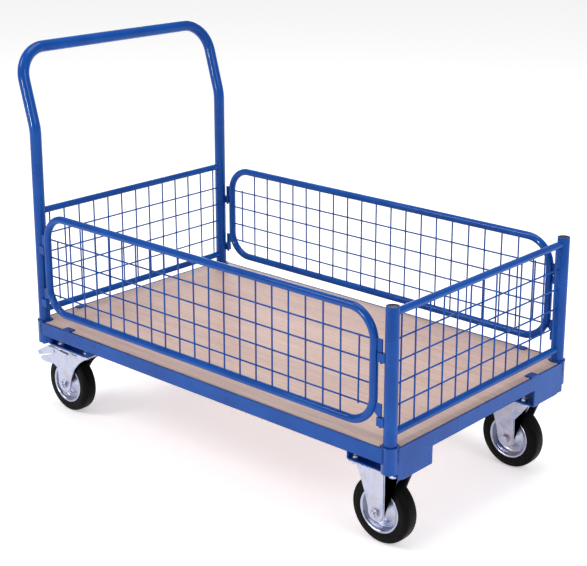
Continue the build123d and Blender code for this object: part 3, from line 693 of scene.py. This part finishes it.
for side, y in sides.items():
    node = f"panel_frame_{side}"
    body = f"panel_{side}"
    low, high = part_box(node)
    ringRadius = panelShape["Tube Radius"]
    ringY = (low.y + high.y) / 2
    left, right = low.x + ringRadius, high.x - ringRadius
    bottom, top = low.z + ringRadius, high.z - ringRadius
    corners = [(left, ringY, bottom), (right, ringY, bottom), (right, ringY, top), (left, ringY, top)]
    mesh = grow("tube", {**panelShape, "Finish": finishOf["blue_paint"]}, corners,
                chain(len(corners), True), {"bend": [panelBend] * len(corners)})
    addPiece(f"panelRing_{side}", mesh, body, "blue_paint", (node,))

    centreX = (left + right) / 2
    sink, pitch = gridShape["sink"], gridShape["pitch"]
    clearLow, clearHigh = bottom + ringRadius - sink, top - ringRadius + sink
    rows = [deckTop + gridShape["panelFirstRow"] + i * pitch for i in range(gridShape["rows"])]
    wires = []
    lastColumn = gridShape["panelColumns"]
    for i in range(-lastColumn, lastColumn + 1):
        short = abs(i) == lastColumn
        base = rows[0] - gridShape["overhang"] if short else clearLow
        tip = rows[-1] + gridShape["overhang"] if short else clearHigh
        columnX = centreX + i * pitch + wander(gridShape["columnWander"])
        wires.append(((columnX, ringY, (base + tip) / 2), leaning(upright, tip - base),
                      (1, 1, tip - base)))
    innerBend = panelBend - ringRadius
    for z in rows:
        intoBend = max(bottom + panelBend - z, z - top + panelBend, 0)
        reach = (right - left) / 2 - panelBend + math.sqrt(innerBend ** 2 - intoBend ** 2)
        wires.append(((centreX, ringY - y * gridShape["layer"], z + wander(gridShape["rowWander"])),
                      leaning(alongX, 2 * reach), (1, 1, 2 * reach)))
    growWires(f"panelGrid_{side}", wires, body, (f"panel_mesh_{side}",))
    softEdged(f"panel_hooks_{side}", rollRadius["hook"], 2)
softEdged("panel_catches", rollRadius["catch"], 2)
print("walls and panels done")

# Weld beads under the paint
weldLook = {"Drop Radius": 0.0016, "Drop Pitch": 0.0017, "Seed": 5}
socketWeld = {"sink": 0.0008, "along": 0.004, "short": 0.001}
hookWeld = {"rise": 0.24, "sideStep": 0.0022, "start": 0.001, "end": 0.014}
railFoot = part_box("side_rail_left")[0].z
for (end, side), centre in postCentres.items():
    wall = socketShape["wallRadius"]
    inwardX = -1 if end == "front" else 1
    inwardY = -sides[side]
    for direction in (Vector((inwardX, 0.0, 0)), Vector((0.0, inwardY, 0))):
        outward = Vector((0, sides[side], 0)) if direction.x else Vector((-inwardX, 0, 0))
        spot = (Vector((centre.x, centre.y, 0)) + outward * (wall - socketWeld["sink"])
                + direction * socketWeld["along"])
        foot, head = railFoot + socketWeld["short"], deckTop - socketWeld["short"]
        weldPaths[frameBody].append(([(spot.x, spot.y, foot), (spot.x, spot.y, head)], False))
for side, y in sides.items():
    ringY = middle(f"panel_frame_{side}").y
    frameLow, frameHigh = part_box(f"panel_frame_{side}")
    for root in (frameLow.x, frameHigh.x):
        for face in (-1, 1):
            weldY, z = ringY + face * hookWeld["sideStep"], deckTop + hookWeld["rise"]
            path = [(root, weldY, z - hookWeld["start"]), (root, weldY, z - hookWeld["end"])]
            weldPaths[f"panel_{side}"].append((path, False))
for body, paths in weldPaths.items():
    points, edges = [], []
    for path, closed in paths:
        edges += [(a + len(points), b + len(points)) for a, b in chain(len(path), closed)]
        points += path
    mesh = grow("weld", {**weldLook, "Finish": finishOf["blue_paint"]}, points, edges)
    addPiece(f"weldBeads_{body}", mesh, body, "blue_paint")
print("welds done")

# Castor forks, plates and pedals, with the radius of each pressing's edges
castorEdges = {"fixed_fork": 0.0016, "swivel_plate": 0.001, "swivel_fork": 0.0012, "brake_pedal": 0.001}
for side in sides:
    for pressing, radius in castorEdges.items():
        softEdged(f"{pressing}_{side}", radius)
print("castor frames done")

# Castor bolts and nuts
boltShape = {"spacing": (0.105, 0.08), "flats": 0.015, "radius": 0.0045, "pitch": 0.00125,
             "threadSteps": 20, "plateThickness": 0.004, "seed": 3, "sharpAngle": 25}


def placeFasteners(name, work, points, replaced):
    # Each copy is turned by chance, as fasteners that were driven home by hand are
    pattern = bpy.data.objects.new("pattern", toMesh(work))
    bpy.context.scene.collection.objects.link(pattern)
    spin = random.Random(boltShape["seed"])
    turns = [(0, 0, spin.uniform(0, math.pi / 3)) for _ in points]
    mesh = grow("fasteners", {"Pattern": pattern, "Finish": finishOf["zinc_steel"]}, points, (),
                {"turn": turns})
    bpy.data.objects.remove(pattern)
    addPiece(name, mesh, frameBody, "zinc_steel", replaced, boltShape["sharpAngle"])


boltPlaces = []
alongPlate, acrossPlate = boltShape["spacing"]
for node in ("fixed_fork_left", "fixed_fork_right", "swivel_plate_left", "swivel_plate_right"):
    centre = middle(node)
    for i in (-0.5, 0.5):
        for j in (-0.5, 0.5):
            boltPlaces.append((centre.x + i * alongPlate, centre.y + j * acrossPlate, 0))
low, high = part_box("castor_bolts")
work = bmesh.new()
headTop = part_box("swivel_plate_left")[1].z - boltShape["plateThickness"]
addHexagon(work, boltShape["flats"], low.z, headTop, True, False)
boltThread = threadProfile(boltShape["radius"], headTop, high.z, boltShape["pitch"])
lathe(work, boltThread, boltShape["threadSteps"], origin, "Z", False)
placeFasteners("castorBoltSet", work, boltPlaces, ("castor_bolts",))
low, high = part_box("castor_nuts")
work = bmesh.new()
addHexagon(work, boltShape["flats"], low.z, high.z, True, True)
placeFasteners("castorNutSet", work, boltPlaces, ("castor_nuts",))
print("castor bolts and nuts done")

# Wheels: rubber tyres, pressed rims, axle bolts
wheelShape = {"tyreSteps": 128, "rimSteps": 96, "sharpAngle": 32}
# Half sections in millimetres: distance from the wheel's middle plane, radius
tyreHalf = [
    (15.5, 52.0), (18.2, 52.5), (19.0, 53.6), (19.5, 56.5), (19.9, 61.0), (20.0, 66.0),  # bead and wall
    (19.7, 67.4), (19.0, 68.4), (18.3, 69.2), (18.5, 70.2), (18.7, 71.0), (18.1, 71.9),  # first ridge
    (17.2, 72.4), (16.8, 73.1), (17.2, 74.0), (17.3, 74.8), (16.6, 75.5), (15.6, 75.9),  # second ridge
    (15.2, 76.5), (15.4, 77.3), (14.7, 78.2), (12.6, 79.1), (9.6, 79.65), (5.0, 79.93),  # last ridge, tread
    (0.0, 80.0),
]
rimHalf = [
    (23.6, 12.1), (24.0, 12.5), (24.0, 14.9), (23.4, 15.5), (17.2, 16.0), (15.8, 17.2),  # hub tube
    (14.2, 19.6), (8.8, 25.6), (7.6, 27.4), (6.4, 30.2), (4.8, 32.8), (4.2, 34.4),  # cone of the disc
    (4.3, 35.6), (5.3, 36.6), (5.9, 37.8), (5.9, 39.0), (5.2, 40.2), (4.5, 41.2),  # stiffening bead
    (4.9, 42.6), (6.8, 44.2), (9.6, 45.4), (15.6, 46.9), (18.3, 47.8), (19.7, 49.0),  # tyre bed
    (20.4, 50.5), (20.5, 51.8), (20.1, 52.9), (19.4, 53.3), (18.7, 52.9), (17.9, 52.2),  # rolled lip
    (16.0, 52.0),
]


def wholeSection(half):
    metres = [(along / 1000, r / 1000) for along, r in half]
    mirrored = [(-along, r) for along, r in reversed(metres) if along > 1e-9]
    return metres + mirrored


axleShape = {"flats": 0.019, "head": 0.008, "standOut": 0.004, "shaft": 0.006, "pitch": 0.00175,
             "threadSink": 0.0008, "steps": 28, "headTurn": 0.3, "nutTurn": 0.8, "nutShare": 0.68,
             "sharpAngle": 25}
washerShape = {"radius": 0.0125, "thick": 0.0016, "edge": 0.0003, "foot": 0.0002, "steps": 40}
collarShape = {"share": 0.9, "rounding": 0.0016, "sink": 0.0005, "dip": 0.0003, "dipReach": 0.0002,
               "dipDepth": 0.0006, "steps": 40}
sleeveShape = {"half": 0.0259, "bore": 0.0061, "radius": 0.008}


def washerProfile(seat, sign):
    # A flat washer whose foot is at the seat and whose turned edge lies outwards along sign
    radius, thick = washerShape["radius"], sign * washerShape["thick"]
    edge, foot = washerShape["edge"], washerShape["foot"]
    return [(seat, 0.0), (seat, radius - foot), (seat + sign * foot, radius),
            (seat + thick - sign * edge, radius), (seat + thick, radius - edge), (seat + thick, 0.0)]


def collarProfile(nutTop, collarTop):
    # The rounded collar of a locking nut, dished at its mouth
    radius = axleShape["flats"] / 2 * collarShape["share"]
    rounding = collarShape["rounding"]
    sunk = nutTop - collarShape["sink"]
    rounded = [(z, r) for r, z in arcPoints((radius - rounding, collarTop - rounding), rounding, 0, 90, 4)]
    return [(sunk, 0.0), (sunk, radius)] + rounded + [
        (collarTop - collarShape["dip"], axleShape["shaft"] + collarShape["dipReach"]),
        (collarTop - collarShape["dipDepth"], 0.0)]


def buildAxle(node, wheelNode, outward, body):
    # A clamped bolt through the fork: head inboard, locking nut outboard
    flats, head, shaft, steps = (axleShape[key] for key in ("flats", "head", "shaft", "steps"))
    thick, standOut = washerShape["thick"], axleShape["standOut"]
    reach = (extent(node).y - 2 * head - standOut) / 2
    nutTop = reach + thick + (head - thick) * axleShape["nutShare"]
    collarTop = reach + head
    thread = threadProfile(shaft, collarTop - axleShape["threadSink"], collarTop + standOut,
                           axleShape["pitch"])
    half, bore, sleeveRadius = sleeveShape["half"], sleeveShape["bore"], sleeveShape["radius"]
    sleeve = [(-half, bore), (-half, sleeveRadius), (half, sleeveRadius), (half, bore)]
    work = bmesh.new()
    addHexagon(work, flats, -reach - head, -reach - thick, True, False, axleShape["headTurn"])
    lathe(work, washerProfile(-reach, -1), washerShape["steps"], origin, "Z", False)
    lathe(work, washerProfile(reach, 1), washerShape["steps"], origin, "Z", False)
    addHexagon(work, flats, reach + thick, nutTop, True, True, axleShape["nutTurn"])
    lathe(work, collarProfile(nutTop, collarTop), collarShape["steps"], origin, "Z", False)
    lathe(work, thread, steps, origin, "Z", False)
    lathe(work, [(-reach, 0.0), (-reach, shaft), (reach, shaft), (reach, 0.0)], steps, origin, "Z", False)
    lathe(work, sleeve, steps, origin, "Z")
    mesh = toMesh(work)
    turned = Matrix.Rotation(-outward * math.pi / 2, 4, "X")
    mesh.transform(Matrix.Translation(middle(wheelNode)) @ turned)
    addPiece(node + "Shape", mesh, body, "zinc_steel", (node,), axleShape["sharpAngle"])


for end in ("front", "rear"):
    for side, y in sides.items():
        body = f"wheel_{end}_{side}"
        tyreNode, rimNode = f"tyre_{end}_{side}", f"rim_{end}_{side}"
        centre = middle(tyreNode)
        work = bmesh.new()
        lathe(work, wholeSection(tyreHalf), wheelShape["tyreSteps"], centre)
        addPiece(f"solidTyre_{end}_{side}", toMesh(work), body, "black_rubber", (tyreNode,),
                 wheelShape["sharpAngle"])
        work = bmesh.new()
        lathe(work, wholeSection(rimHalf), wheelShape["rimSteps"], centre)
        addPiece(f"pressedRim_{end}_{side}", toMesh(work), body, "zinc_steel", (rimNode,),
                 wheelShape["sharpAngle"])
        axleNode = f"{end}_axle_{side}"
        buildAxle(axleNode, tyreNode, y, bodyOf[axleNode])
print("wheels done")

# Floor, light and camera
studio = {"floor": "#ffffff", "floorSize": 60.0, "glow": 0.42, "world": 0.45, "aim": (0, 0, 0.35),
          "lights": [("keyLight", (-2.6, -3.6, 4.6), 2.4, 105), ("frontLight", (4.6, -0.6, 3.0), 2.0, 60),
                     ("topLight", (0.0, 0.4, 5.0), 3.0, 90), ("lowSoftbox", (-0.4, -3.6, 1.02), 0.6, 60),
                     ("backSoftbox", (-3.6, 3.9, 1.7), 1.8, 30)],
          "glossOnly": ("lowSoftbox", "backSoftbox")}
half = studio["floorSize"] / 2
floorMesh = bpy.data.meshes.new("studioFloor")
floorCorners = [(-half, -half, 0), (half, -half, 0), (half, half, 0), (-half, half, 0)]
floorMesh.from_pydata(floorCorners, [], [(0, 1, 2, 3)])
floor = bpy.data.objects.new("studioFloor", floorMesh)
bpy.context.scene.collection.objects.link(floor)
# A matt white floor that glows faintly, so that it stays pale far from the lamps
floorMaterial = startMaterial("paleStudioFloor", {
    "Base Color": toLinear(studio["floor"]), "Roughness": 0.9, "Specular IOR Level": 0.1,
    "Emission Color": (1, 1, 1, 1), "Emission Strength": studio["glow"]})[0]
floorMesh.materials.append(floorMaterial)

world = bpy.data.worlds.new("softStudio")
bpy.context.scene.world = world
world.use_nodes = True
sky = world.node_tree.nodes["Background"].inputs
sky["Color"].default_value = (1, 1, 1, 1)
sky["Strength"].default_value = studio["world"]
aim = Vector(studio["aim"])
for label, spot, size, power in studio["lights"]:
    light = bpy.data.lights.new(label, "AREA")
    light.shape = "DISK"
    light.size = size
    light.energy = power
    lamp = bpy.data.objects.new(label, light)
    lamp.location = spot
    lamp.rotation_euler = (aim - Vector(spot)).to_track_quat("-Z", "Y").to_euler()
    lamp.visible_camera = False
    lamp.visible_diffuse = label not in studio["glossOnly"]  # the softboxes only show as highlights
    bpy.context.scene.collection.objects.link(lamp)

view = {"place": (2.2505, -2.444, 1.537), "azimuth": 42.04, "elevation": 15.61, "lens": 84.4,
        "sensor": 36, "shiftY": -0.124}
azimuth, elevation = math.radians(view["azimuth"]), math.radians(view["elevation"])
back = Vector((math.sin(azimuth) * math.cos(elevation), -math.cos(azimuth) * math.cos(elevation),
               math.sin(elevation)))
right = Vector((math.cos(azimuth), math.sin(azimuth), 0))
up = back.cross(right)
cameraData = bpy.data.cameras.new("studioCamera")
cameraData.lens = view["lens"]
cameraData.sensor_width = view["sensor"]
cameraData.shift_y = view["shiftY"]
camera = bpy.data.objects.new("studioCamera", cameraData)
turned = Matrix((right, up, back)).transposed().to_4x4()
camera.matrix_world = Matrix.Translation(view["place"]) @ turned
bpy.context.scene.collection.objects.link(camera)
bpy.context.scene.camera = camera
bpy.context.scene.view_settings.view_transform = "Standard"
print("studio done")
